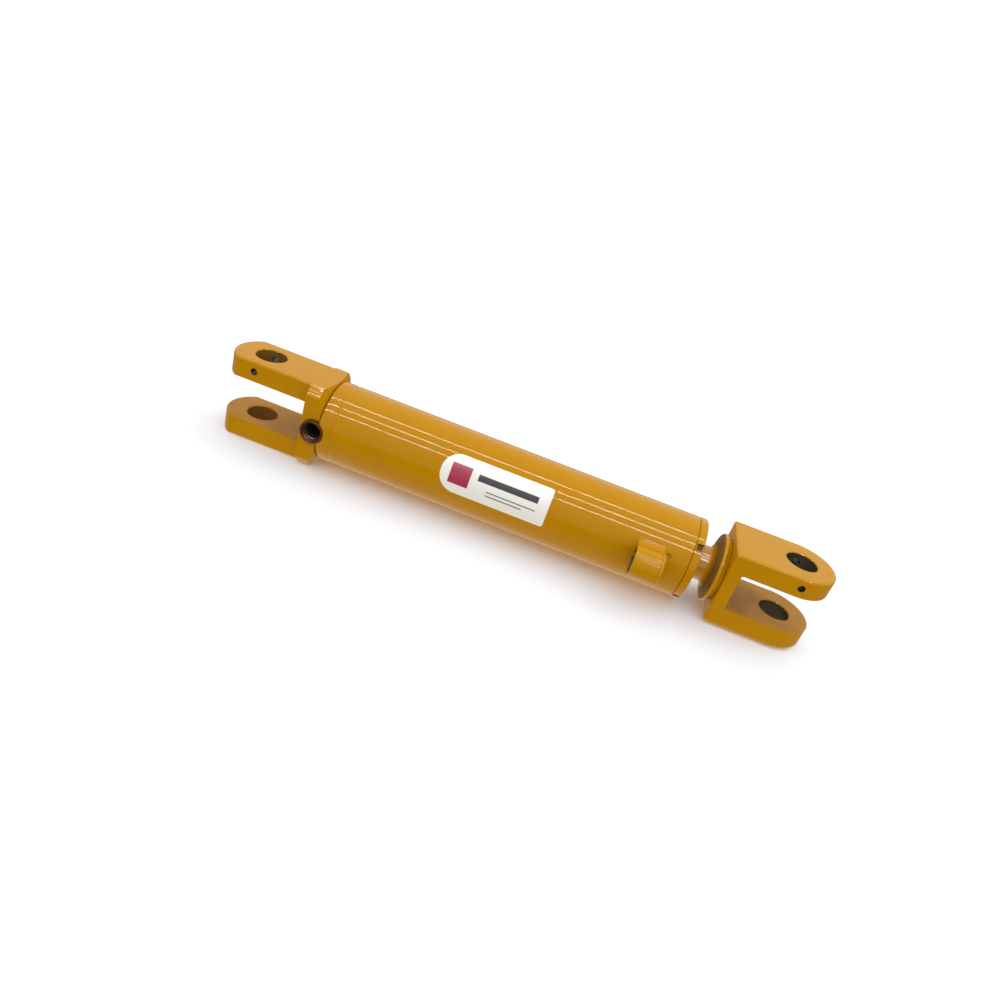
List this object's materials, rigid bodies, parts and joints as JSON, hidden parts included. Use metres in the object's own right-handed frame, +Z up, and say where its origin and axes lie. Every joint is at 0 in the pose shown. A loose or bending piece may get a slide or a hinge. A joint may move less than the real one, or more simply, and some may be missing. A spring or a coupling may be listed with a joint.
{
  "type": "hydraulic cylinder",
  "caption": "Yellow welded hydraulic cylinder with a clevis at each end, rod fully in, side ports, seals and piston inside",
  "frame": {"origin": "on the resting plane, under the middle of the tube's axis, on the underside of the base clevis' block", "axes": "+X from the base clevis to the rod clevis, along the tube; +Z up, along both clevis pins; -Y the side with the ports"},
  "size_m": [0.6751, 0.1193, 0.0916],
  "materials": {
    "yellow_paint": "glossy machinery yellow enamel with a slight orange peel",
    "bare_steel": "machined and lightly oiled steel",
    "hard_chrome": "ground and polished hard chrome, painted over outside the gland at rest",
    "black_rubber": "moulded nitrile rubber",
    "polyurethane": "dark red moulded polyurethane",
    "filled_nylon": "glass-filled nylon, dull",
    "white_vinyl": "self-adhesive white vinyl, satin"
  },
  "bodies": {
    "barrel": {"barrel_tube": "yellow_paint", "base_clevis": "yellow_paint", "base_weld": "yellow_paint", "rod_port_boss": "yellow_paint", "rod_port_weld": "yellow_paint", "head_gland": "yellow_paint", "base_port_boss": "bare_steel", "gland_lock_screw": "bare_steel", "gland_o_ring": "black_rubber", "gland_backup_ring": "filled_nylon", "gland_wear_ring": "filled_nylon", "rod_seal": "polyurethane", "rod_buffer_seal": "polyurethane", "rod_wiper": "black_rubber", "data_label": "white_vinyl"},
    "piston_rings": {"piston_seal": "polyurethane", "piston_seal_energizer": "black_rubber", "piston_wear_ring_1": "filled_nylon", "piston_wear_ring_2": "filled_nylon"},
    "rod": {"piston": "bare_steel", "piston_o_ring": "black_rubber", "piston_lock_nut": "bare_steel", "piston_rod": "hard_chrome", "rod_collar": "yellow_paint", "rod_weld": "yellow_paint", "rod_clevis": "yellow_paint"}
  },
  "joints": [
    {"name": "rod_stroke", "type": "slide", "parent": "barrel", "child": "piston_rings", "axis": [1, 0, 0], "range_m": [0, 0.3]},
    {"name": "rod_spin", "type": "hinge", "parent": "piston_rings", "child": "rod", "pos_m": [0, 0, 0.0458], "axis": [1, 0, 0], "continuous": true}
  ]
}
